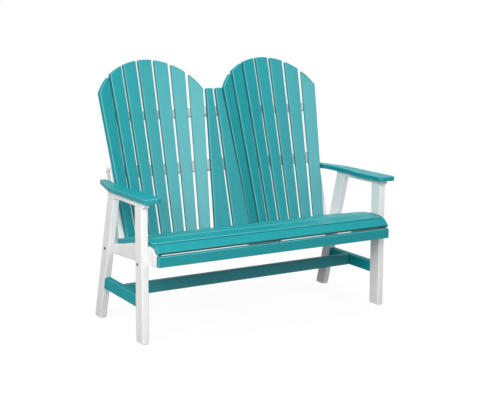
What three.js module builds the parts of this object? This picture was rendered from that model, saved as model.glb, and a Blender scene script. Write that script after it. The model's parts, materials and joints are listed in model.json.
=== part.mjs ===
// A two-seat outdoor bench of moulded boards: two fan backs side by side over one wide seat.
// Lengths are in millimetres. X runs across the bench, +Y to the rear and +Z up.
// While it is built, the front faces of the front legs stand at Y 0; the last lines centre it.
import * as THREE from "three";

// Driving sizes of the frame
const legSpan = 1270; // outer face to outer face of the legs
const frameThickness = 32; // white frame boards
const boardThickness = 22; // seat, back and arm boards
const fitGap = 0.3; // between boards that meet at an angle
const legHeight = 588;
const frontLegDepth = 67;
const rearLegDepth = 65.5; // measured level, front to rear
const rearFootFront = 459;
const rearLegRakeDegrees = 16.26;
const footChamfer = 4;

// Stretchers
const stretcherBase = 151.5;
const stretcherHeight = 52;
const longStretcherFront = 234;

// Arms and the white strips under them
const armStripThickness = 22;
const armStripOverhang = 14; // ahead of the front leg
const armThickness = 22;
const armOverhangFront = 57;
const armOverhangSide = 11;
const armFrontWidth = 83;
const armWaistWidth = 63;
const armCurveFront = 130; // where the inner side starts to draw in
const armCurveLength = 125;
const armNeckLength = 50; // from the end of the waist to the post
const armTailLength = 30; // behind the post
const armTaperLength = 210;
const armTailWidth = 26;
const armFrontChamfer = 16;
const armCornerEase = 5;
const armCurveSteps = 8;

// Seat boards, from the crest to the rear
const seatEndGap = 6; // between a seat board and the leg beside it
const seatCrestFront = -36;
const seatCrestHeight = 441;
const seatSlatGap = 6;
const seatBackGap = 3; // between the last seat board and the boards of the back
const seatSlatTiltDegrees = [-4, 6, 11.5, 13.5, 10.5];
const noseTiltDegrees = 42;
const noseFaceHeight = 10;
const noseLipHeight = 5;
const noseLipShare = 0.5; // of the upright face above the lip
const noseGap = 5.5; // between the nose board and the apron
const apronFront = -84;
const apronDrop = 95; // from the crest of the seat to the foot of the apron
const apronHeight = 46.5;

// Side rails and centre support of the seat
const seatRailDrop = 33; // the lower edge falls to the rear by this
const seatRailInset = 8; // ahead of the rear face of the leg

// The back: a frame of its own that leans to the rear
const backReclineDegrees = 16;
const backSetting = 52.2; // from the front of the rear leg to the middle of a fan, level
const backBaseDrop = 52.4; // base height of the back, below the crest of the seat
const fanRadius = 700; // hollow of a fan, seen from above
const fanSlatCount = 7;
const fanSlatGap = 14.5;
const fanSideGap = 28.3; // from the outer board to the seat rail, at the base height
const fanPitchSpread = 14.5; // what each board and gap gain up to the shoulder height
const fanShoulderHeight = 650;
const fanPeakHeight = 815;
const fanCrownRise = 160; // from the corners of a fan to its peak
const topArcSteps = 6;
const centrePairWidth = 187; // the two flat middle boards together, at the base height
const centreSlatForward = 51.5; // how far they stand ahead of a fan's middle
const centreSlatTop = 656;
const centreSideGap = 9;

// Cross rails and posts of the back, along the lean
const backRailRear = 52;
const topRailBase = 533;
const topRailHeight = 37;
const topRailInset = 37; // its ends lie inside the outer boards by this
const midRailRise = 12.8; // above the top of the arms
const midRailHeight = 50;
const lowRailBase = -65;
const lowRailHeight = 40;
const slatFootOverhang = 15; // below the lowest rail
const postDepth = 48;
const postFootOverhang = 5; // below the lowest rail

// Bolt and screw heads
const boltHeadRadius = 7;
const boltHeadHeight = 3;
const boltHeightOnLeg = 341;
const frontBoltInset = 24; // from the rear edge of the front leg
const screwHeadRadius = 4;
const screwHeadHeight = 1.2;
const screwSpacing = 32;
const screwTopInset = 19; // below the top of the post
const headTopShare = 0.6; // of the radius of a head
const headSides = 16;

// Values that follow from the sizes above
const legOuter = legSpan / 2;
const legInner = legOuter - frameThickness;
const seatRailInner = legInner - frameThickness;
const postInner = seatRailInner - frameThickness;
const rakeSlope = Math.tan(THREE.MathUtils.degToRad(rearLegRakeDegrees));
const armBase = legHeight + armStripThickness;
const seatHalfLength = legInner - seatEndGap;
const apronRear = apronFront + boardThickness;
const apronBase = seatCrestHeight - apronDrop;
const noseBase = apronBase + apronHeight + noseGap;
const noseTilt = THREE.MathUtils.degToRad(noseTiltDegrees);
const seatRailBaseRear = apronBase - seatRailDrop;
const seatRailRear = rearLegFrontAt(seatRailBaseRear) + rearLegDepth - seatRailInset;
const backLean = THREE.MathUtils.degToRad(backReclineDegrees);
const backBaseHeight = seatCrestHeight - backBaseDrop;
const backBaseDepth = rearLegFrontAt(backBaseHeight) + backSetting;
const fanInnerEdge = centrePairWidth / 2 + centreSideGap;
const fanOuterEdge = seatRailInner - fanSideGap;
const fanCentre = (fanInnerEdge + fanOuterEdge) / 2;
const fanPitchBase = (fanOuterEdge - fanInnerEdge + fanSlatGap) / fanSlatCount;
const fanHalfTop = (fanSlatCount * (fanPitchBase + fanPitchSpread) - fanSlatGap) / 2;
const fanTopRadius = (fanHalfTop * fanHalfTop + fanCrownRise * fanCrownRise) / (2 * fanCrownRise);
const slatFoot = lowRailBase - slatFootOverhang;
const topRailHalfLength = fanSlat(fanSlatCount - 1).rightAt(topRailBase) - topRailInset;
const midRailBase = (armBase + armThickness - backBaseHeight) / Math.cos(backLean) + midRailRise;
const midRailTop = midRailBase + midRailHeight;
const postFoot = lowRailBase - postFootOverhang;
const postFront = postFrontFace();
const postRear = postFront + postDepth;

const tealFinish = { color: 0x37a5aa, roughness: 0.55, metalness: 0 };
const whiteFinish = { color: 0xe9e9e7, roughness: 0.55, metalness: 0 };
const steelFinish = { color: 0xb9bcc0, roughness: 0.35, metalness: 1 };

const group = new THREE.Group();
group.name = "loveseat";

function addNode(name, geometry, finish) {
  const mesh = new THREE.Mesh(geometry, new THREE.MeshStandardMaterial(finish));
  mesh.name = name;
  group.add(mesh);
  return mesh;
}

function prism(points, height) {
  const shape = new THREE.Shape(points.map(([across, up]) => new THREE.Vector2(across, up)));
  return new THREE.ExtrudeGeometry(shape, { depth: height, bevelEnabled: false });
}

// A board whose outline lies in the YZ plane and whose thickness runs along X.
function sideBoard(outline, innerX, thickness, side) {
  const geometry = prism(outline, thickness);
  const basis = new THREE.Matrix4().makeBasis(
    new THREE.Vector3(0, 1, 0),
    new THREE.Vector3(0, 0, 1),
    new THREE.Vector3(1, 0, 0),
  );
  const startX = side > 0 ? innerX : -innerX - thickness;
  geometry.applyMatrix4(basis.setPosition(startX, 0, 0));
  return geometry;
}

// A level board whose outline is seen from above.
function levelBoard(outline, baseZ, thickness, side) {
  const geometry = prism(outline.map(([x, y]) => [side * x, y]), thickness);
  geometry.translate(0, 0, baseZ);
  return geometry;
}

// The leaning frame of the back: across, rearward from the middle of a fan, and up along the lean.
const backFrame = new THREE.Matrix4().makeBasis(
  new THREE.Vector3(1, 0, 0),
  new THREE.Vector3(0, Math.cos(backLean), -Math.sin(backLean)),
  new THREE.Vector3(0, Math.sin(backLean), Math.cos(backLean)),
);
backFrame.setPosition(0, backBaseDepth, backBaseHeight);

// Y of a plane of the back, a given distance rearward, at a height above the floor.
function backPlaneY(rearward, z) {
  return backBaseDepth + (z - backBaseHeight) * Math.tan(backLean) + rearward / Math.cos(backLean);
}

// Y of the front face of a rear leg at a height above the floor.
function rearLegFrontAt(z) {
  return rearFootFront - z * rakeSlope;
}

function makeLegs(side, label) {
  const frontOutline = [
    [footChamfer, 0],
    [frontLegDepth - footChamfer, 0],
    [frontLegDepth, footChamfer],
    [frontLegDepth, legHeight],
    [0, legHeight],
    [0, footChamfer],
  ];
  addNode(`frontLeg${label}`, sideBoard(frontOutline, legInner, frameThickness, side), whiteFinish);
  const rearOutline = [
    [rearLegFrontAt(0) + footChamfer, 0],
    [rearLegFrontAt(0) + rearLegDepth - footChamfer, 0],
    [rearLegFrontAt(footChamfer) + rearLegDepth, footChamfer],
    [rearLegFrontAt(legHeight) + rearLegDepth, legHeight],
    [rearLegFrontAt(legHeight), legHeight],
    [rearLegFrontAt(footChamfer), footChamfer],
  ];
  addNode(`rearLeg${label}`, sideBoard(rearOutline, legInner, frameThickness, side), whiteFinish);
  const stretcherTop = stretcherBase + stretcherHeight;
  const stretcherOutline = [
    [frontLegDepth, stretcherBase],
    [rearLegFrontAt(stretcherBase), stretcherBase],
    [rearLegFrontAt(stretcherTop), stretcherTop],
    [frontLegDepth, stretcherTop],
  ];
  addNode(`sideStretcher${label}`, sideBoard(stretcherOutline, legInner, frameThickness, side), tealFinish);
  const stripOutline = [
    [-armStripOverhang, legHeight],
    [rearLegFrontAt(legHeight) + rearLegDepth, legHeight],
    [rearLegFrontAt(legHeight) + rearLegDepth, armBase],
    [-armStripOverhang, armBase],
  ];
  addNode(`armStrip${label}`, sideBoard(stripOutline, legInner, frameThickness, side), whiteFinish);
}

function makeLongStretcher() {
  const outline = [
    [-legInner, longStretcherFront],
    [legInner, longStretcherFront],
    [legInner, longStretcherFront + frameThickness],
    [-legInner, longStretcherFront + frameThickness],
  ];
  addNode("longStretcher", levelBoard(outline, stretcherBase, stretcherHeight, 1), tealFinish);
}

// Arms: wide in front, drawn in on the inner side, and tapered to the rear beside the post.
function makeArm(side, label) {
  const outer = legOuter + armOverhangSide;
  const frontInner = outer - armFrontWidth;
  const waistInner = outer - armWaistWidth;
  const front = -armOverhangFront;
  const postFrontY = backPlaneY(postFront, armBase);
  const armRear = backPlaneY(postRear, armBase) + armTailLength;
  const outline = [
    [frontInner + armFrontChamfer, front],
    [outer - armCornerEase, front],
    [outer, front + armCornerEase],
    [outer, armRear - armTaperLength],
    [seatRailInner + armTailWidth, armRear],
    [seatRailInner, armRear],
    [seatRailInner, postFrontY],
    [waistInner, postFrontY - armNeckLength],
  ];
  for (let step = 0; step <= armCurveSteps; step += 1) {
    const along = step / armCurveSteps;
    const blend = (1 - Math.cos(Math.PI * along)) / 2;
    const y = armCurveFront + armCurveLength * (1 - along);
    outline.push([THREE.MathUtils.lerp(waistInner, frontInner, blend), y]);
  }
  outline.push([frontInner, front + armFrontChamfer]);
  addNode(`arm${label}`, levelBoard(outline, armBase, armThickness, side), tealFinish);
}

// Width of the flat seat boards: together with their gaps they reach from the crest to the back.
function seatSlatWidth() {
  const tilts = seatSlatTiltDegrees.map((degrees) => THREE.MathUtils.degToRad(degrees));
  const reach = (count, size) => {
    const used = tilts.slice(0, count);
    const level = used.reduce((sum, tilt) => sum + Math.cos(tilt) * size, 0);
    const fall = used.reduce((sum, tilt) => sum + Math.sin(tilt) * size, 0);
    return level + fall * Math.tan(backLean);
  };
  const room = backPlaneY(-centreSlatForward, seatCrestHeight) - seatCrestFront - seatBackGap;
  return (room - reach(tilts.length - 1, seatSlatGap)) / reach(tilts.length, 1);
}

// Seat: each flat board starts where the last one ends, turned to its own tilt.
function seatSlatSections() {
  const sections = [];
  const width = seatSlatWidth();
  let y = seatCrestFront;
  let z = seatCrestHeight;
  for (const tiltDegrees of seatSlatTiltDegrees) {
    const tilt = THREE.MathUtils.degToRad(tiltDegrees);
    const along = [Math.cos(tilt), -Math.sin(tilt)];
    const down = [-Math.sin(tilt) * boardThickness, -Math.cos(tilt) * boardThickness];
    const end = [y + along[0] * width, z + along[1] * width];
    sections.push([
      [y, z],
      [y + down[0], z + down[1]],
      [end[0] + down[0], end[1] + down[1]],
      end,
    ]);
    y = end[0] + along[0] * seatSlatGap;
    z = end[1] + along[1] * seatSlatGap;
  }
  return sections;
}

// The nose board bends down over the front; its rear face runs beside the first flat board.
function noseSection(firstSlat) {
  const crestTilt = THREE.MathUtils.degToRad(seatSlatTiltDegrees[0]);
  const rearTop = [
    firstSlat[0][0] - Math.cos(crestTilt) * seatSlatGap,
    firstSlat[0][1] + Math.sin(crestTilt) * seatSlatGap,
  ];
  const alongY = -Math.cos(noseTilt);
  const alongZ = -Math.sin(noseTilt);
  const width = (noseBase + noseFaceHeight - rearTop[1]) / alongZ;
  const frontTop = [rearTop[0] + alongY * width, noseBase + noseFaceHeight];
  const under = [rearTop[0] - alongZ * boardThickness, rearTop[1] + alongY * boardThickness];
  const faceY = firstSlat[1][0] - firstSlat[0][0];
  const faceZ = firstSlat[1][1] - firstSlat[0][1];
  const cross = faceY * alongZ - faceZ * alongY;
  const share = ((under[0] - rearTop[0]) * alongZ - (under[1] - rearTop[1]) * alongY) / cross;
  const rearUnder = [rearTop[0] + faceY * share, rearTop[1] + faceZ * share];
  const frontUnder = [under[0] + ((noseBase - under[1]) * alongY) / alongZ, noseBase];
  const lip = [frontTop[0] + (noseFaceHeight - noseLipHeight) * noseLipShare, noseBase];
  return [rearTop, rearUnder, frontUnder, lip, [frontTop[0], noseBase + noseLipHeight], frontTop];
}

// Top edge of a seat rail, front to rear: it follows the undersides of the seat boards.
function seatRailTop(sections, nose) {
  const underSlope = (nose[1][1] - nose[2][1]) / (nose[1][0] - nose[2][0]);
  const frontZ = nose[2][1] + (apronRear - nose[2][0]) * underSlope;
  const points = [[apronRear, frontZ], nose[1]];
  for (const section of sections) {
    points.push(section[1], section[2]);
  }
  return points;
}

function railBaseAt(y) {
  const share = (y - apronRear) / (seatRailRear - apronRear);
  return THREE.MathUtils.lerp(apronBase, seatRailBaseRear, share);
}

function makeSeat() {
  const sections = seatSlatSections();
  const nose = noseSection(sections[0]);
  const length = 2 * seatHalfLength;
  addNode("seatNose", sideBoard(nose, -seatHalfLength, length, 1), tealFinish);
  sections.forEach((section, index) => {
    addNode(`seatSlat${index + 1}`, sideBoard(section, -seatHalfLength, length, 1), tealFinish);
  });
  const apron = [
    [apronFront, apronBase],
    [apronRear, apronBase],
    [apronRear, apronBase + apronHeight],
    [apronFront, apronBase + apronHeight],
  ];
  addNode("apron", sideBoard(apron, -seatHalfLength, length, 1), tealFinish);

  const top = seatRailTop(sections, nose);
  const last = top[top.length - 1];
  const before = top[top.length - 2];
  const lastSlope = (last[1] - before[1]) / (last[0] - before[0]);
  const rearTop = [seatRailRear, last[1] + (seatRailRear - last[0]) * lastSlope];
  const railOutline = [[apronRear, apronBase], [seatRailRear, seatRailBaseRear], rearTop];
  railOutline.push(...top.slice().reverse());
  for (const [side, label] of [[-1, "Left"], [1, "Right"]]) {
    addNode(`seatRail${label}`, sideBoard(railOutline, seatRailInner, frameThickness, side), whiteFinish);
  }

  const slatFront = -centreSlatForward - fitGap;
  const supportRearBase = backPlaneY(slatFront, seatRailBaseRear);
  const supportRearTop = backPlaneY(slatFront, last[1]);
  const supportOutline = [
    [apronRear, apronBase],
    [supportRearBase, railBaseAt(supportRearBase)],
    [supportRearTop, last[1]],
  ];
  supportOutline.push(...top.slice().reverse());
  const supportStart = -frameThickness / 2;
  addNode("seatSupport", sideBoard(supportOutline, supportStart, frameThickness, 1), whiteFinish);
}

// Fan layout in the leaning frame: board and gap together at a height along the lean.
function fanPitch(height) {
  return fanPitchBase + (fanPitchSpread * height) / fanShoulderHeight;
}

function fanHollow(offset) {
  return fanRadius - Math.sqrt(fanRadius * fanRadius - offset * offset);
}

function fanTopHeight(offset) {
  return fanPeakHeight - fanTopRadius + Math.sqrt(fanTopRadius * fanTopRadius - offset * offset);
}

// A fan board as a plane in the leaning frame of the right half: its point, axes and edges.
function fanSlat(index) {
  const place = index - (fanSlatCount - 1) / 2;
  const onAxis = (height) => {
    const offset = place * fanPitch(height);
    return new THREE.Vector3(fanCentre + offset, -fanHollow(offset), height);
  };
  const foot = onAxis(slatFoot);
  const axis = onAxis(fanShoulderHeight).sub(foot).normalize();
  const middle = place * fanPitch(fanShoulderHeight / 2);
  const turn = Math.asin(middle / fanRadius);
  const across = new THREE.Vector3(Math.cos(turn), -Math.sin(turn), 0);
  across.addScaledVector(axis, -across.dot(axis)).normalize();
  const forward = new THREE.Vector3().crossVectors(across, axis);
  const back = foot.clone().addScaledVector(forward, -boardThickness);
  const leftAt = (height) => fanCentre + (place - 0.5) * fanPitch(height) + fanSlatGap / 2;
  const rightAt = (height) => fanCentre + (place + 0.5) * fanPitch(height) - fanSlatGap / 2;
  return { across, axis, forward, back, leftAt, rightAt };
}

// The two flat boards between the fans, for the right half.
function centreSlat() {
  const across = new THREE.Vector3(1, 0, 0);
  const axis = new THREE.Vector3(0, 0, 1);
  const forward = new THREE.Vector3(0, -1, 0);
  const back = new THREE.Vector3(0, boardThickness - centreSlatForward, slatFoot);
  const half = fanSlatCount / 2;
  const leftAt = () => fanSlatGap / 2;
  const rightAt = (height) => fanCentre - half * fanPitch(height) + fanSlatGap / 2 - centreSideGap;
  return { across, axis, forward, back, leftAt, rightAt };
}

// How far rearward the back face of a board lies at a place of the leaning frame.
function backFaceAt(board, x, height) {
  const { forward, back } = board;
  const rest = forward.x * (x - back.x) + forward.z * (height - back.z);
  return back.y - rest / forward.y;
}

// Outline point of a board, in its own plane, for a place of the leaning frame.
function inPlane(board, x, height) {
  const { across, axis, back } = board;
  const dx = x - back.x;
  const dz = height - back.z;
  const cross = across.x * axis.z - across.z * axis.x;
  return [(dx * axis.z - dz * axis.x) / cross, (dz * across.x - dx * across.z) / cross];
}

function makeBackBoard(name, board, outline, side) {
  const points = outline.map(([x, height]) => inPlane(board, x, height));
  const geometry = prism(points, boardThickness);
  geometry.applyMatrix4(
    new THREE.Matrix4().makeBasis(board.across, board.axis, board.forward).setPosition(board.back),
  );
  if (side < 0) {
    geometry.scale(-1, 1, 1);
    flipFaces(geometry);
  }
  geometry.applyMatrix4(backFrame);
  addNode(name, geometry, tealFinish);
}

// Mirrored faces are turned the right way out again.
function flipFaces(geometry) {
  const position = geometry.attributes.position;
  const corner = new THREE.Vector3();
  const other = new THREE.Vector3();
  for (let face = 0; face < position.count; face += 3) {
    corner.fromBufferAttribute(position, face + 1);
    other.fromBufferAttribute(position, face + 2);
    position.setXYZ(face + 1, other.x, other.y, other.z);
    position.setXYZ(face + 2, corner.x, corner.y, corner.z);
  }
  geometry.computeVertexNormals();
}

// Height where a slanted board edge meets the round top of the fan.
function edgeTop(edgeAt) {
  let height = fanShoulderHeight;
  for (let round = 0; round < 40; round += 1) {
    height = fanTopHeight(edgeAt(height) - fanCentre);
  }
  return height;
}

function makeFan(side, label) {
  for (let index = 0; index < fanSlatCount; index += 1) {
    const board = fanSlat(index);
    const leftTop = edgeTop(board.leftAt);
    const rightTop = edgeTop(board.rightAt);
    const outline = [
      [board.leftAt(slatFoot), slatFoot],
      [board.rightAt(slatFoot), slatFoot],
    ];
    for (let step = 0; step <= topArcSteps; step += 1) {
      const x = THREE.MathUtils.lerp(board.rightAt(rightTop), board.leftAt(leftTop), step / topArcSteps);
      outline.push([x, fanTopHeight(x - fanCentre)]);
    }
    makeBackBoard(`backSlat${label}${index + 1}`, board, outline, side);
  }
  const middle = centreSlat();
  const middleOutline = [
    [middle.leftAt(slatFoot), slatFoot],
    [middle.rightAt(slatFoot), slatFoot],
    [middle.rightAt(centreSlatTop), centreSlatTop],
    [middle.leftAt(centreSlatTop), centreSlatTop],
  ];
  makeBackBoard(`backSlatCentre${label}`, middle, middleOutline, side);
}

// Front edge of the right half of a cross rail, from the middle out: one straight run behind each board.
function railFrontEdge(base, height, end) {
  const boards = [centreSlat()];
  for (let index = 0; index < fanSlatCount; index += 1) {
    boards.push(fanSlat(index));
  }
  const levels = [base, base + height];
  const middle = base + height / 2;
  const rearmost = (pair, x) => {
    const places = pair.flatMap((board) => levels.map((level) => backFaceAt(board, x, level)));
    return Math.max(...places) + fitGap;
  };
  const edge = [[0, rearmost([boards[0]], 0)]];
  const centreEdge = Math.max(...levels.map((level) => boards[0].rightAt(level)));
  edge.push([centreEdge, rearmost([boards[0], boards[1]], centreEdge)]);
  for (let index = 1; index < fanSlatCount; index += 1) {
    const x = boards[index].rightAt(middle) + fanSlatGap / 2;
    edge.push([x, rearmost([boards[index], boards[index + 1]], x)]);
  }
  edge.push([end, rearmost([boards[fanSlatCount]], end)]);
  return edge;
}

function makeBackRail(name, base, height, halfLength) {
  const right = railFrontEdge(base, height, halfLength);
  const left = right.slice(1).map(([x, rearward]) => [-x, rearward]).reverse();
  const outline = [...left, ...right, [halfLength, backRailRear], [-halfLength, backRailRear]];
  const geometry = prism(outline, height);
  geometry.translate(0, 0, base);
  geometry.applyMatrix4(backFrame);
  addNode(name, geometry, whiteFinish);
}

// The front of a post stands clear of the back of the outer board.
function postFrontFace() {
  const outer = fanSlat(fanSlatCount - 1);
  const places = [postFoot, midRailTop].map((height) => backFaceAt(outer, postInner, height));
  return Math.max(...places) + fitGap;
}

function makePost(side, label) {
  const outline = [
    [postInner, postFront],
    [seatRailInner, postFront],
    [seatRailInner, postRear],
    [postInner, postRear],
  ];
  const geometry = levelBoard(outline, postFoot, midRailTop - postFoot, side);
  geometry.applyMatrix4(backFrame);
  addNode(`backPost${label}`, geometry, whiteFinish);
}

// A low round head standing on a face that looks sideways.
function sideHead(radius, height, x, y, z, side) {
  const geometry = new THREE.CylinderGeometry(radius * headTopShare, radius, height, headSides);
  geometry.rotateZ(-side * Math.PI / 2);
  geometry.translate(side * (x + height / 2), y, z);
  return geometry;
}

function makeHeads(side, label) {
  const rearBoltDepth = rearLegFrontAt(boltHeightOnLeg) + rearLegDepth / 2;
  const bolts = [["frontBolt", frontLegDepth - frontBoltInset], ["rearBolt", rearBoltDepth]];
  for (const [name, depth] of bolts) {
    const head = sideHead(boltHeadRadius, boltHeadHeight, legOuter, depth, boltHeightOnLeg, side);
    addNode(`${name}${label}`, head, steelFinish);
  }
  const middle = (postFront + postRear) / 2;
  [["frontScrew", -1], ["rearScrew", 1]].forEach(([name, step]) => {
    const place = middle + (step * screwSpacing) / 2;
    const point = new THREE.Vector3(0, place, midRailTop - screwTopInset).applyMatrix4(backFrame);
    const head = sideHead(screwHeadRadius, screwHeadHeight, seatRailInner, point.y, point.z, side);
    addNode(`${name}${label}`, head, steelFinish);
  });
}

for (const [side, label] of [[-1, "Left"], [1, "Right"]]) {
  makeLegs(side, label);
  makeArm(side, label);
  makeFan(side, label);
  makePost(side, label);
  makeHeads(side, label);
}
makeLongStretcher();
makeSeat();
makeBackRail("backRailTop", topRailBase, topRailHeight, topRailHalfLength);
makeBackRail("backRailMid", midRailBase, midRailHeight, postInner);
makeBackRail("backRailLow", lowRailBase, lowRailHeight, postInner);

// The origin goes to the middle of the floor under the bench.
group.updateMatrixWorld(true);
const extent = new THREE.Box3().setFromObject(group);
const middleY = (extent.min.y + extent.max.y) / 2;
for (const mesh of group.children) {
  mesh.geometry.translate(0, -middleY, -extent.min.z);
}

export default group;
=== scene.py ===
import json
import math

import bmesh
import bpy
import numpy as np
from mathutils import Matrix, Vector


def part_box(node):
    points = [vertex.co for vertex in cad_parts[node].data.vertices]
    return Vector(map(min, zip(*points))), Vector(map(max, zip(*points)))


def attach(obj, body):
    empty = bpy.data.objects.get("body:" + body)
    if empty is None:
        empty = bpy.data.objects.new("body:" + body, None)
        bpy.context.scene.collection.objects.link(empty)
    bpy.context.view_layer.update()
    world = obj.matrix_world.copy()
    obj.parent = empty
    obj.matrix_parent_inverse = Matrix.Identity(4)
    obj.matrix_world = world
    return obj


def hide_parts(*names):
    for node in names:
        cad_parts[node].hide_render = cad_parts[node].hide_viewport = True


# A two-seat garden bench of moulded boards.
# Lengths are metres, +X to the right, -Y to the front, +Z up.
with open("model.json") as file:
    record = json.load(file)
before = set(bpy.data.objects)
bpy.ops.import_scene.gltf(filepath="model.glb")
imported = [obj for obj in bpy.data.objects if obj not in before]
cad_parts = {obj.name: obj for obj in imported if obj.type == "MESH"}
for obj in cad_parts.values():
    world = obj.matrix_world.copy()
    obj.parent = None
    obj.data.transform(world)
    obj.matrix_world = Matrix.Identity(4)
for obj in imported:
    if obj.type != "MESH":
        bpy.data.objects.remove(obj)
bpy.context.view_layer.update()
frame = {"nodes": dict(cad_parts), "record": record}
nodeNames = sorted(frame["nodes"])
nodeSlots = {entry["node"]: entry["material_slot"] for entry in frame["record"]["subparts"]}
print("stage: frame loaded,", len(nodeNames), "nodes")


def addObject(name, data):
    thing = bpy.data.objects.new(name, data)
    bpy.context.scene.collection.objects.link(thing)
    return thing


# Camera

cameraView = {
    "place": (-2.39928, -4.12571, 1.38260),
    "turnDegrees": -30.1803,  # about Z, from a view along +Y
    "downDegrees": 7.8244,
    "rollDegrees": 0.136,
    "focalLength": 77.682,  # millimetres, as the sensor's width is
    "sensorWidth": 36,
    "shiftUp": -0.09,
    "nearest": 0.05,
    "farthest": 100,
}


def makeCamera():
    data = bpy.data.cameras.new("photoCamera")
    data.sensor_width = cameraView["sensorWidth"]
    data.lens = cameraView["focalLength"]
    data.shift_y = cameraView["shiftUp"]
    data.clip_start, data.clip_end = cameraView["nearest"], cameraView["farthest"]
    camera = addObject("photoCamera", data)
    turn = Matrix.Rotation(math.radians(cameraView["turnDegrees"]), 4, "Z")
    tilt = Matrix.Rotation(math.radians(90 - cameraView["downDegrees"]), 4, "X")
    roll = Matrix.Rotation(math.radians(cameraView["rollDegrees"]), 4, "Z")
    camera.matrix_world = Matrix.Translation(cameraView["place"]) @ turn @ tilt @ roll
    bpy.context.scene.camera = camera


makeCamera()
print("stage: camera")

# Boards

boardShape = {
    # Rounding along the rims, by the start of a node's name or by its slot; the first fit counts
    "edgeRadii": {
        "armStrip": 0.0018,
        "arm": 0.003,
        "backRail": 0.002,
        "teal_board": 0.0042,
        "white_board": 0.005,
    },
    "cornerRadius": 0.0045,  # least rounding of the corners, seen on the board's face
    "cornerPerEdge": 1.2,  # and it is at least this times the rounding along the rims
    "cornerRoom": 0.46,  # an arc takes up to this share of the shorter edge at its corner
    "smoothBelowDegrees": 20,  # outline points on short edges that turn less become one soft curve
    "smoothBelowLength": 0.03,
    "cornerSteps": 4,
    "edgeSteps": 5,
}

# Where the sawn colour of a board's sides lies, which on slats and the nose board is painted shade
sawnAndShadeSides = {
    "fade": 2,  # it fades over a rounded rim with this power of the profile's outward share
    "slatFade": 8,  # and on a slat with this one
    "lipTurn": 0.2,  # the nose board's painted shade is gone where the side faces up by this much
}

patternReach = 5  # metres by which each board's grain may start elsewhere, so that no two match

placeDigits = 6  # places that agree to this many digits are one corner
sameWay = 0.9995  # two normals whose product is above this face the same way
squareWay = 0.01  # and those below this stand square to each other
leastTurn = 1e-4  # radians, where an outline runs straight on


# The first value whose key starts the node's name or is the node's slot.
def chooseFor(node, values):
    fits = (key for key in values if node.startswith(key) or key == nodeSlots[node])
    return values[next(fits)]


# Reads a straight prism from its node: the rim of one flat end as an ordered outline, and the axis
# that it is carried along. Of several flat pairs, the one with the least depth between them counts
# as the two faces. The outline is measured along the board's longest edge and across it.
def readPrism(node):
    mesh = frame["nodes"][node].data
    mesh.calc_loop_triangles()
    places = np.empty(len(mesh.vertices) * 3)
    mesh.vertices.foreach_get("co", places)
    corners = np.empty(len(mesh.loop_triangles) * 3, int)
    mesh.loop_triangles.foreach_get("vertices", corners)
    places = places.reshape(-1, 3).round(placeDigits)
    spots, merged = np.unique(places, axis=0, return_inverse=True)
    triangles = merged.reshape(-1)[corners].reshape(-1, 3)
    first, second, third = (spots[triangles[:, side]] for side in range(3))
    normals = np.cross(second - first, third - first)
    normals /= np.linalg.norm(normals, axis=1, keepdims=True)
    alike = np.abs(normals @ normals.T)
    flatPairs = np.all((alike < squareWay) | (alike > sameWay), axis=1)
    depths = np.ptp(spots @ normals.T, axis=0)
    face = normals[np.argmin(np.where(flatPairs, depths, np.inf))]
    onFace = triangles[normals @ face > sameWay]
    steps = {(a, b) for tri in onFace.tolist() for a, b in zip(tri, tri[1:] + tri[:1])}
    follows = {a: b for a, b in steps if (b, a) not in steps}
    rim = [min(follows)]
    while follows[rim[-1]] != rim[0]:
        rim.append(follows[rim[-1]])
    rim = spots[rim]
    edges = np.roll(rim, -1, axis=0) - rim
    along = edges[np.argmax(np.linalg.norm(edges, axis=1))]
    along = along / np.linalg.norm(along)
    across = np.cross(face, along)
    depth = np.ptp(spots @ face)
    middle = (rim.min(axis=0) + rim.max(axis=0)) / 2 - face * depth / 2
    outline = np.stack([(rim - middle) @ along, (rim - middle) @ across], axis=1)
    return {
        "middle": middle,
        "along": along,
        "across": across,
        "face": face,
        "outline": outline,
        "depth": depth,
    }


# Each corner of the outline turns into an arc: its centre lies one radius inside both edges, and
# its points are the centre plus the radius times a normal that turns evenly from one edge's to the
# next one's.
def roundOutline(outline, radius):
    into = outline - np.roll(outline, 1, axis=0)
    sizes = np.linalg.norm(into, axis=1)
    into = into / sizes[:, None]
    out = np.roll(into, -1, axis=0)
    shorter = np.minimum(sizes, np.roll(sizes, -1))
    crossed = into[:, 0] * out[:, 1] - into[:, 1] * out[:, 0]
    turn = np.arctan2(crossed, (into * out).sum(axis=1))
    turn = np.where(np.abs(turn) < leastTurn, leastTurn, turn)
    halfTurn = np.tan(np.abs(turn) / 2)
    room = boardShape["cornerRoom"] * shorter
    smooth = np.abs(turn) < math.radians(boardShape["smoothBelowDegrees"])
    smooth &= shorter < boardShape["smoothBelowLength"]
    reach = np.where(smooth, room, np.minimum(radius * halfTurn, room))
    bend = np.sign(turn) * reach / halfTurn
    normalIn = np.stack([into[:, 1], -into[:, 0]], axis=1)
    normalOut = np.roll(normalIn, -1, axis=0)
    miter = (normalIn + normalOut) / (1 + (normalIn * normalOut).sum(axis=1))[:, None]
    centre = outline - bend[:, None] * miter
    angle = np.arctan2(normalIn[:, 1], normalIn[:, 0])[:, None]
    angle = angle + turn[:, None] * np.linspace(0, 1, boardShape["cornerSteps"] + 1)
    normals = np.stack([np.cos(angle), np.sin(angle)], axis=2)
    points = centre[:, None, :] + bend[:, None, None] * normals
    return points.reshape(-1, 2), normals.reshape(-1, 2)


# Numbers the points of closed rings, and joins each ring to the next with quads.
def joinRings(rings, count):
    grid = np.arange(rings * count).reshape(rings, count)
    upper, lower = grid[:-1], grid[1:]
    beside = np.roll(lower, -1, axis=1), np.roll(upper, -1, axis=1)
    return grid, np.stack([upper, lower, *beside], axis=2).reshape(-1, 4)


# Keeps a number or a place for each vertex, which the materials read by its name.
def keepValues(mesh, name, values):
    kind, field = ("FLOAT", "value") if values.ndim == 1 else ("FLOAT_VECTOR", "vector")
    mesh.attributes.new(name, kind, "POINT").data.foreach_set(field, values.ravel())
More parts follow.
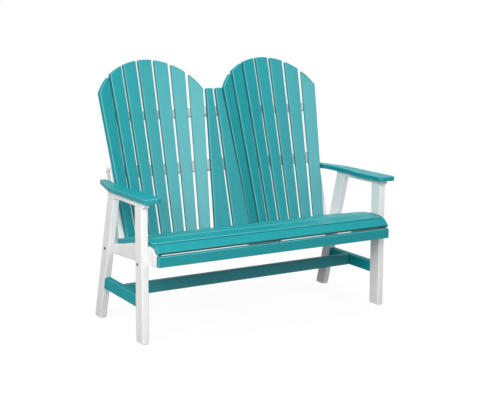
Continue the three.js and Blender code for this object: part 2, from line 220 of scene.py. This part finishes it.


# Carries a quarter-round profile along the rim on both faces. At an angle f of the profile a rim
# point moves in by radius * (1 - sin f) and lies radius * (1 - cos f) under the face, and its
# normal is sin f outwards and cos f up. The rim mask is the square of sin 2f, so it is 1 halfway
# round a rim, where the colour takes a painted highlight. The side mask is a power of sin f times
# the share of the side that takes the side colour. That is 1, but on a slat the square of the side
# normal's part across the board, which leaves out the ends, and on the nose board 1 where the side
# faces down, falling to 0 as it turns up. It places the sawn colour, and on slats and the nose
# board painted shade.
def roundedBoard(name, prism, edgeRadius, cornerRadius, seed):
    points, normals = roundOutline(prism["outline"], cornerRadius)
    count = len(points)
    angles = np.linspace(0, math.pi / 2, boardShape["edgeSteps"] + 1)
    inset = edgeRadius * (1 - np.sin(angles))
    height = prism["depth"] / 2 - edgeRadius * (1 - np.cos(angles))
    inset = np.concatenate([inset, inset[::-1]])
    height = np.concatenate([height, -height[::-1]])
    outwards = np.concatenate([np.sin(angles), np.sin(angles[::-1])])
    upwards = np.concatenate([np.cos(angles), -np.cos(angles[::-1])])

    def onEachRing(flat, levels):
        level = np.repeat(levels[:, None, None], count, axis=1)
        return np.concatenate([flat, level], axis=2).reshape(-1, 3)

    axes = np.stack([prism["along"], prism["across"], prism["face"]])
    local = onEachRing(points[None] - inset[:, None, None] * normals[None], height)
    turned = onEachRing(outwards[:, None, None] * normals[None], upwards)
    share, fade = np.ones(count), sawnAndShadeSides["fade"]
    if name.startswith("backSlat"):
        share, fade = normals[:, 1] ** 2, sawnAndShadeSides["slatFade"]
    if name.startswith("seatNose"):
        facingUp = (normals @ axes[:2])[:, 2]
        share = np.clip((sawnAndShadeSides["lipTurn"] - facingUp) / sawnAndShadeSides["lipTurn"], 0, 1)
    sawnAndShade = (outwards[:, None] ** fade * share[None]).reshape(-1)
    # the rim mask, where the colour takes a painted highlight
    eased = np.repeat(4 * (outwards * upwards) ** 2, count)
    grid, quads = joinRings(len(height), count)
    faces = quads.tolist() + [grid[0].tolist(), grid[-1][::-1].tolist()]
    mesh = bpy.data.meshes.new(name)
    mesh.from_pydata((prism["middle"] + local @ axes).tolist(), [], faces)
    mesh.polygons.foreach_set("use_smooth", np.ones(len(faces), bool))
    mesh.normals_split_custom_set_from_vertices((turned @ axes).tolist())
    random = np.random.default_rng(seed)
    keepValues(mesh, "boardPlace", local + random.uniform(-patternReach, patternReach, 3))
    keepValues(mesh, "sawnAndShadeEdge", sawnAndShade)
    keepValues(mesh, "easedRim", eased)
    keepValues(mesh, "boardTone", np.full(len(local), random.uniform(-1, 1)))
    return mesh


def addPiece(name, mesh, material, nodes):
    piece = addObject(name, mesh)
    mesh.materials.append(material)
    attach(piece, "root")
    if nodes:
        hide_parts(*nodes)


# Materials

tealBoard = {
    "face": (0.0055, 0.274, 0.301, 1),
    "edge": (0.008, 0.283, 0.308, 1),  # the sawn sides
    "rim": (0.16, 0.50, 0.53, 1),  # painted highlight along the rounded rims
    "edgeShare": 0.5,
    "rimShare": 0.55,
    "toneSpread": 0.03,  # how far one board's tone may lie from another's
    "streakSpread": 0.05,
    "roughness": 0.44,
    "roughnessSpread": 0.10,
    "grainDepth": 0.00010,
    "sheen": 0.25,  # how strongly the surface mirrors
}

# Painted shade: a deeper colour stands in for the shadow on slats' long sides in a narrow gap,
# and a nearly black one for the shadow line under the nose board's lip.
tealGapShade = tealBoard | {"edge": (0.004, 0.225, 0.252, 1), "edgeShare": 0.8}
tealLipShade = tealBoard | {"edge": (0.001, 0.045, 0.055, 1), "edgeShare": 0.9}

# Painted light: the side stretchers mirror less and get a lighter, more saturated face that stands
# in for light, and the long one a greyer face that stands in for sheen, with no painted rim
# highlight.
tealLitStretcher = tealBoard | {
    "face": (0.003, 0.325, 0.358, 1),
    "edge": (0.005, 0.315, 0.346, 1),
    "sheen": 0.05,
}
tealSheenBeam = tealBoard | {"face": (0.025, 0.255, 0.29, 1), "rimShare": 0}

whiteBoard = {
    "face": (0.85, 0.84, 0.835, 1),
    "edge": (0.85, 0.84, 0.835, 1),
    "rim": (0.85, 0.84, 0.835, 1),
    "edgeShare": 0.5,
    "rimShare": 0,
    "toneSpread": 0.01,
    "streakSpread": 0.015,
    "roughness": 0.45,
    "roughnessSpread": 0.10,
    "grainDepth": 0.00010,
    "sheen": 0.30,
}

# The noises of the board skin. A stretch is along the board, across it and through it.
boardGrain = {
    "streaks": {"stretch": (7, 190, 190), "detail": 4, "rough": 0.62},
    "grain": {"stretch": (30, 1100, 1100), "detail": 3, "rough": 0.55},
    "clouds": {"stretch": (3, 9, 9), "detail": 3, "rough": 0.5},
    "streaksInTone": 1.3,
    "cloudsInTone": 0.7,
    "streaksInHeight": 0.6,
    "grainInHeight": 0.4,
    "sawnRoughness": 0.06,  # added on the sawn sides
    "bumpStrength": 0.8,
}

noiseMiddle = 0.5  # noise goes up and down from here

# The inputs of the board skin: label, kind, and the value of a board's look that goes in
skinInputs = (
    ("Face Color", "NodeSocketColor", "face"),
    ("Edge Color", "NodeSocketColor", "edge"),
    ("Rim Color", "NodeSocketColor", "rim"),
    ("Tone Spread", "NodeSocketFloat", "toneSpread"),
    ("Streak Spread", "NodeSocketFloat", "streakSpread"),
    ("Edge Share", "NodeSocketFloat", "edgeShare"),
    ("Rim Share", "NodeSocketFloat", "rimShare"),
    ("Roughness", "NodeSocketFloat", "roughness"),
    ("Roughness Spread", "NodeSocketFloat", "roughnessSpread"),
)

skinOutputs = (
    ("Color", "NodeSocketColor"),
    ("Roughness", "NodeSocketFloat"),
    ("Height", "NodeSocketFloat"),
)


# Each input gets a plain value, or a link where it is another node's output.
def fillInputs(tree, node, inputs):
    for key, value in inputs.items():
        if isinstance(value, bpy.types.NodeSocket):
            tree.links.new(value, node.inputs[key])
        else:
            node.inputs[key].default_value = value


def addNode(tree, kind, inputs=None, **settings):
    node = tree.nodes.new(kind)
    for key, value in settings.items():
        setattr(node, key, value)
    fillInputs(tree, node, inputs or {})
    return node


def maths(tree, operation, first, second):
    node = addNode(tree, "ShaderNodeMath", {0: first, 1: second}, operation=operation)
    return node.outputs["Value"]


def mixColors(tree, share, first, second):
    inputs = {"Factor": share, "A": first, "B": second}
    return addNode(tree, "ShaderNodeMix", inputs, data_type="RGBA").outputs["Result"]


def mixShaders(tree, share, first, second):
    inputs = {0: share, 1: first, 2: second}
    return addNode(tree, "ShaderNodeMixShader", inputs).outputs["Shader"]


def newMaterial(name):
    material = bpy.data.materials.new(name)
    material.use_nodes = True
    return material, material.node_tree


# Skin of a moulded board. Noise stretched along the board gives its fine streaks, and a wide noise
# its cloudy tone. The sides lean to the edge colour, a sawn colour on most boards and painted shade
# on the slats and the nose board, and then the rounded rims lean to a painted highlight.
def makeBoardSkin():
    tree = bpy.data.node_groups.new("boardSkin", "ShaderNodeTree")
    for label, kind, key in skinInputs:
        tree.interface.new_socket(name=label, in_out="INPUT", socket_type=kind)
    for label, kind in skinOutputs:
        tree.interface.new_socket(name=label, in_out="OUTPUT", socket_type=kind)
    given = addNode(tree, "NodeGroupInput").outputs

    def kept(name, output="Fac"):
        return addNode(tree, "ShaderNodeAttribute", attribute_name=name).outputs[output]

    def noise(name):
        look = boardGrain[name]
        stretched = {"Vector": place, "Scale": look["stretch"]}
        mapping = addNode(tree, "ShaderNodeMapping", stretched, vector_type="POINT")
        inputs = {
            "Vector": mapping.outputs["Vector"],
            "Scale": 1,
            "Detail": look["detail"],
            "Roughness": look["rough"],
        }
        return addNode(tree, "ShaderNodeTexNoise", inputs).outputs["Fac"]

    def plus(first, second):
        return maths(tree, "ADD", first, second)

    def times(first, second):
        return maths(tree, "MULTIPLY", first, second)

    place, sawnAndShade = kept("boardPlace", "Vector"), kept("sawnAndShadeEdge")
    eased, tone = kept("easedRim"), kept("boardTone")
    streaks, grain, clouds = noise("streaks"), noise("grain"), noise("clouds")
    inTone = boardGrain["streaksInTone"], boardGrain["cloudsInTone"]
    swing = plus(times(streaks, inTone[0]), times(clouds, inTone[1]))
    swing = times(plus(swing, -sum(inTone) * noiseMiddle), 1 / noiseMiddle)
    swing = times(swing, given["Streak Spread"])
    bright = plus(plus(swing, 1), times(tone, given["Tone Spread"]))
    sawnAndShadeShare, highlightShare = times(sawnAndShade, given["Edge Share"]), times(eased, given["Rim Share"])
    # the side mask mixes in painted shade on slats and the nose board, the rim mask a painted
    # highlight
    color = mixColors(tree, sawnAndShadeShare, given["Face Color"], given["Edge Color"])
    color = mixColors(tree, highlightShare, color, given["Rim Color"])
    lit = {"Vector": color, "Scale": bright}
    shade = addNode(tree, "ShaderNodeVectorMath", lit, operation="SCALE")
    wander = times(plus(grain, -noiseMiddle), given["Roughness Spread"])
    rough = plus(plus(given["Roughness"], wander), times(sawnAndShade, boardGrain["sawnRoughness"]))
    fineHeight = times(grain, boardGrain["grainInHeight"])
    height = plus(times(streaks, boardGrain["streaksInHeight"]), fineHeight)
    results = {"Color": shade.outputs["Vector"], "Roughness": rough, "Height": height}
    addNode(tree, "NodeGroupOutput", results)
    return tree


boardSkin = makeBoardSkin()


def boardMaterial(name, look):
    material, tree = newMaterial(name)
    looks = {label: look[key] for label, kind, key in skinInputs}
    skin = addNode(tree, "ShaderNodeGroup", looks, node_tree=boardSkin).outputs
    bumps = {
        "Strength": boardGrain["bumpStrength"],
        "Distance": look["grainDepth"],
        "Height": skin["Height"],
    }
    surface = {
        "Base Color": skin["Color"],
        "Roughness": skin["Roughness"],
        "Specular IOR Level": look["sheen"],
        "Normal": addNode(tree, "ShaderNodeBump", bumps).outputs["Normal"],
    }
    fillInputs(tree, tree.nodes["Principled BSDF"], surface)
    return material


tealMaterial = boardMaterial("tealBoard", tealBoard)

# By the start of a node's name or by its slot; the first fit counts. The outermost slats, which
# end in 7, have no narrow gap beyond them.
boardFinishes = {
    "white_board": boardMaterial("whiteBoard", whiteBoard),
    "backSlatLeft7": tealMaterial,
    "backSlatRight7": tealMaterial,
    "backSlat": boardMaterial("tealGapShade", tealGapShade),
    "seatNose": boardMaterial("tealLipShade", tealLipShade),
    "longStretcher": boardMaterial("tealSheenBeam", tealSheenBeam),
    "sideStretcher": boardMaterial("tealLitStretcher", tealLitStretcher),
    "teal_board": tealMaterial,
}

boardNodes = [node for node in nodeNames if nodeSlots[node] in boardFinishes]
for seed, node in enumerate(boardNodes):
    edgeRadius = chooseFor(node, boardShape["edgeRadii"])
    cornerRadius = max(boardShape["cornerRadius"], edgeRadius * boardShape["cornerPerEdge"])
    mesh = roundedBoard(node + "Board", readPrism(node), edgeRadius, cornerRadius, seed)
    addPiece(node + "Board", mesh, chooseFor(node, boardFinishes), [node])
print("stage: boards,", len(boardNodes))

# Bolt and screw heads

steelHead = {
    "color": (0.07, 0.07, 0.068, 1),
    "stain": (0.03, 0.029, 0.027, 1),
    "stainShare": 0.5,
    "stainFrom": 0.4,  # from the first to the second level of the noise the stain comes in
    "stainTo": 0.75,
    "spotScale": 420,
    "spotDetail": 4,
    "roughness": 0.5,
    "smoother": 0.08,  # how far the roughness goes down and up from there
    "rougher": 0.16,
    "bumpStrength": 0.3,
    "bumpDepth": 0.00005,
}

headShape = {
    "domeDrop": 0.75,  # how far the dome falls to its rim, as a share of the height
    "socketShare": 0.46,  # half the width of a bolt's six-sided socket, as a share of the radius
    "socketDepth": 0.55,  # as a share of the height
    "slotShare": 0.13,  # half the width of a screw's crossed slots, as a share of the radius
    "slotReach": 0.62,
    "slotDepth": 0.6,
    "wallWidth": 0.08,  # of the sloping walls of sockets and slots, as a share of the radius
    "endWidth": 0.12,  # and of the slots' end walls
    "single": (16, 60),  # rings and spokes of a head that is its own piece
    "many": (8, 24),  # and of each head where many make one piece
    "mergeShare": 1e-4,  # points nearer than this share of the radius become one
    "sharpDegrees": 40,
}


# A head is a height over the share r of the radius and the angle a of its round base: a dome of
# height * (1 - drop * r^4). A bolt's socket is sunk into it where r times the cosine of the angle
# to the nearest flat side lies under a share, and a screw's crossed slots where the lesser of
# r * |sin a| and r * |cos a| does. Each wall is a straight slope around its edge.
def headGrid(radius, height, kind, rings, spokes):
    share = np.linspace(0, 1, rings)[:, None]
    angle = np.linspace(0, 2 * math.pi, spokes, endpoint=False)[None, :]
    dome = (1 - headShape["domeDrop"] * share**4) * np.ones_like(angle)

    def inside(edge, place, width):
        return np.clip((edge - place) / width + 0.5, 0, 1)

    if kind == "bolt":
        sixth = math.pi / 3  # of a turn
        reach = share * np.cos(np.mod(angle, sixth) - sixth / 2)
        sunk = inside(headShape["socketShare"], reach, headShape["wallWidth"])
        sunk = sunk * headShape["socketDepth"]
    else:
        across = np.minimum(np.abs(share * np.sin(angle)), np.abs(share * np.cos(angle)))
        inSlot = inside(headShape["slotShare"], across, headShape["wallWidth"])
        inReach = inside(headShape["slotReach"], share, headShape["endWidth"])
        sunk = inSlot * inReach * headShape["slotDepth"]
    level = (dome - sunk) * height
    return share * radius * np.cos(angle), share * radius * np.sin(angle), level


# Sets heads on a face. Each head's height stands along the axis, the last ring is repeated at
# height 0 as a skirt, and one flat face closes it there.
def headMesh(name, places, axis, radius, height, kind):
    detail = headShape["many" if len(places) > 1 else "single"]
    along, across, level = headGrid(radius, height, kind, *detail)
    along, across = np.vstack([along, along[-1]]), np.vstack([across, across[-1]])
    level = np.vstack([level, np.zeros(level.shape[1])])
    out = np.array(axis, float)
    side = np.cross(out, [0, 0, 1])
    side /= np.linalg.norm(side)
    up = np.cross(side, out)
    shape = along[..., None] * side + across[..., None] * up + level[..., None] * out
    vertices = (np.array(places)[:, None, :] + shape.reshape(1, -1, 3)).reshape(-1, 3)
    grid, quads = joinRings(*level.shape)
    backing = grid[-1][::-1]
    faces = []
    for start in range(0, len(vertices), level.size):
        faces += (quads + start).tolist() + [(backing + start).tolist()]
    mesh = bpy.data.meshes.new(name)
    mesh.from_pydata(vertices.tolist(), [], faces)
    work = bmesh.new()
    work.from_mesh(mesh)
    bmesh.ops.remove_doubles(work, verts=work.verts, dist=radius * headShape["mergeShare"])
    bmesh.ops.recalc_face_normals(work, faces=work.faces)
    work.to_mesh(mesh)
    work.free()
    mesh.polygons.foreach_set("use_smooth", np.ones(len(mesh.polygons), bool))
    mesh.set_sharp_from_angle(angle=math.radians(headShape["sharpDegrees"]))
    return mesh


# Dull steel with darker stained spots, which are rougher and slightly raised as well.
def steelMaterial():
    material, tree = newMaterial("brushedSteel")
    noise = {
        "Vector": addNode(tree, "ShaderNodeTexCoord").outputs["Object"],
        "Scale": steelHead["spotScale"],
        "Detail": steelHead["spotDetail"],
    }
    spots = addNode(tree, "ShaderNodeTexNoise", noise).outputs["Fac"]

    stain = {
        "Value": spots,
        "From Min": steelHead["stainFrom"],
        "From Max": steelHead["stainTo"],
        "To Max": steelHead["stainShare"],
    }
    stained = addNode(tree, "ShaderNodeMapRange", stain).outputs["Result"]
    roughness = {
        "Value": spots,
        "To Min": steelHead["roughness"] - steelHead["smoother"],
        "To Max": steelHead["roughness"] + steelHead["rougher"],
    }
    rough = addNode(tree, "ShaderNodeMapRange", roughness).outputs["Result"]
    bumps = {
        "Strength": steelHead["bumpStrength"],
        "Distance": steelHead["bumpDepth"],
        "Height": spots,
    }
    surface = {
        "Metallic": 1,
        "Base Color": mixColors(tree, stained, steelHead["color"], steelHead["stain"]),
        "Roughness": rough,
        "Normal": addNode(tree, "ShaderNodeBump", bumps).outputs["Normal"],
    }
    fillInputs(tree, tree.nodes["Principled BSDF"], surface)
    return material


headSteel = steelMaterial()
headNodes = [node for node in nodeNames if nodeSlots[node] == "steel_head"]
for node in headNodes:
    low, high = (np.array(corner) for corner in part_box(node))
    side = math.copysign(1, low[0] + high[0])
    middle = (low + high) / 2
    middle[0] = min(abs(low[0]), abs(high[0])) * side
    kind = "bolt" if "Bolt" in node else "screw"
    radius, height = (high[2] - low[2]) / 2, high[0] - low[0]
    mesh = headMesh(node + "Head", [middle], (side, 0, 0), radius, height, kind)
    addPiece(node + "Head", mesh, headSteel, [node])

railScrew = {
    "radius": 0.0036,
    "height": 0.0012,
    "endRoom": 0.02,  # how far from a slat's end a screw stays
}


# A screw goes where a slat's middle line crosses the middle of a rail, on the rail's rear face.
def railScrewPlaces():
    slats = [readPrism(node) for node in nodeNames if node.startswith("backSlat")]
    places = []
    for rail in ("backRailTop", "backRailMid", "backRailLow"):
        beam = readPrism(rail)
        rear = np.cross(beam["face"], [1, 0, 0])
        rear *= math.copysign(1, rear[1])
        corners = beam["middle"] + beam["outline"] @ np.stack([beam["along"], beam["across"]])
        behind = (corners @ rear).max()
        for slat in slats:
            climb = slat["along"] @ beam["face"]
            travel = (beam["middle"] - slat["middle"]) @ beam["face"] / climb
            if abs(travel) > np.ptp(slat["outline"][:, 0]) / 2 - railScrew["endRoom"]:
                continue
            point = slat["middle"] + slat["along"] * travel
            places.append(point + rear * (behind - point @ rear))
    return places, rear


screwPlaces, rearward = railScrewPlaces()
screwSize = railScrew["radius"], railScrew["height"]
screwMesh = headMesh("railScrews", screwPlaces, rearward, *screwSize, "screw")
addPiece("railScrews", screwMesh, headSteel, [])
print("stage: bolt and screw heads,", len(headNodes) + len(screwPlaces))

# Floor, light and background

studio = {
    "floorSize": 30,
    "floorWhite": 0.92,  # what the floor gives off by itself to the camera
    "floorShade": 0.10,  # how much of the light on it the camera sees, so that the shadow stays
    "fadeFrom": 1.0,  # from this distance to the next, the shade gives way to plain white
    "fadeTo": 2.2,
    "floorBounce": 0.45,
    "skyLevel": 0.12,
    "lampAim": (0, 0, 0.6),
}

# Only the lamps that give sheen show as a reflection, and the last one lights nothing else.
lampLooks = {
    "left": {"place": (-3.1, -1.8, 2.2), "size": (1.6, 1.6), "power": 70, "gives": "light, sheen"},
    "key": {"place": (-2.1, -3.5, 2.2), "size": (1.2, 1.8), "power": 75, "gives": "light"},
    "right": {"place": (1.7, -3.2, 2.2), "size": (1.4, 1.8), "power": 36, "gives": "light"},
    "top": {"place": (0.2, 0.1, 3.2), "size": (1.8, 1.6), "power": 46, "gives": "light"},
    "rear": {"place": (1.9, 3.5, 2.3), "size": (2.0, 1.6), "power": 60, "gives": "light"},
    "gloss": {"place": (-0.65, -3.2, 2.15), "size": (2.8, 1.6), "power": 262, "gives": "sheen"},
}


def grey(level):
    return level, level, level, 1


# 1 for what the camera sees, also in mirrors and glass, so that metal shows the same background.
def seenByCamera(tree):
    path = addNode(tree, "ShaderNodeLightPath").outputs
    seen = path["Is Camera Ray"]
    for ray in ("Is Glossy Ray", "Is Transmission Ray"):
        seen = maths(tree, "MAXIMUM", seen, path[ray])
    return seen


# White paper. Near the bench the camera sees its glow and a little of the light on it, and farther
# away plain white. To the lamps' light it is a pale grey.
def makeFloor():
    mesh = bpy.data.meshes.new("floor")
    half = studio["floorSize"] / 2
    corners = [(-half, -half, 0), (half, -half, 0), (half, half, 0), (-half, half, 0)]
    mesh.from_pydata(corners, [], [(0, 1, 2, 3)])
    material, tree = newMaterial("floorPaper")
    tree.nodes.clear()

    def paper(level):
        return addNode(tree, "ShaderNodeBsdfDiffuse", {"Color": grey(level)}).outputs["BSDF"]

    def glow(strength):
        return addNode(tree, "ShaderNodeEmission", {"Strength": strength}).outputs["Emission"]

    lit = {0: paper(studio["floorShade"]), 1: glow(studio["floorWhite"])}
    near = addNode(tree, "ShaderNodeAddShader", lit).outputs["Shader"]
    place = addNode(tree, "ShaderNodeTexCoord").outputs["Object"]
    distance = addNode(tree, "ShaderNodeVectorMath", {0: place}, operation="LENGTH")
    ends = {
        "Value": distance.outputs["Value"],
        "From Min": studio["fadeFrom"],
        "From Max": studio["fadeTo"],
    }
    fade = addNode(tree, "ShaderNodeMapRange", ends, interpolation_type="SMOOTHSTEP")
    seen = mixShaders(tree, fade.outputs["Result"], near, glow(1))
    surface = mixShaders(tree, seenByCamera(tree), paper(studio["floorBounce"]), seen)
    addNode(tree, "ShaderNodeOutputMaterial", {"Surface": surface})
    mesh.materials.append(material)
    floor = addObject("floor", mesh)


def makeWorld():
    world = bpy.data.worlds.new("studio")
    bpy.context.scene.world = world
    world.use_nodes = True
    tree = world.node_tree
    tree.nodes.clear()

    def sky(strength):
        inputs = {"Color": grey(1), "Strength": strength}
        return addNode(tree, "ShaderNodeBackground", inputs).outputs["Background"]

    surface = mixShaders(tree, seenByCamera(tree), sky(studio["skyLevel"]), sky(1))
    addNode(tree, "ShaderNodeOutputWorld", {"Surface": surface})


def makeLamp(name, look):
    data = bpy.data.lights.new(name + "Lamp", "AREA")
    data.shape = "RECTANGLE"
    data.size, data.size_y = look["size"]
    data.energy = look["power"]
    lamp = addObject(name + "Lamp", data)
    place = np.array(look["place"])
    aim = np.array(studio["lampAim"]) - place
    yaw = math.atan2(-aim[0], aim[1])
    pitch = math.atan2(aim[2], math.hypot(aim[0], aim[1]))
    turn = Matrix.Rotation(yaw, 4, "Z") @ Matrix.Rotation(math.pi / 2 + pitch, 4, "X")
    lamp.matrix_world = Matrix.Translation(place) @ turn
    lamp.visible_diffuse = "light" in look["gives"]
    lamp.visible_glossy = "sheen" in look["gives"]


makeFloor()
makeWorld()
for lampName, lampLook in lampLooks.items():
    makeLamp(lampName, lampLook)
bpy.context.scene.view_settings.view_transform = "Standard"
print("stage: floor and light")
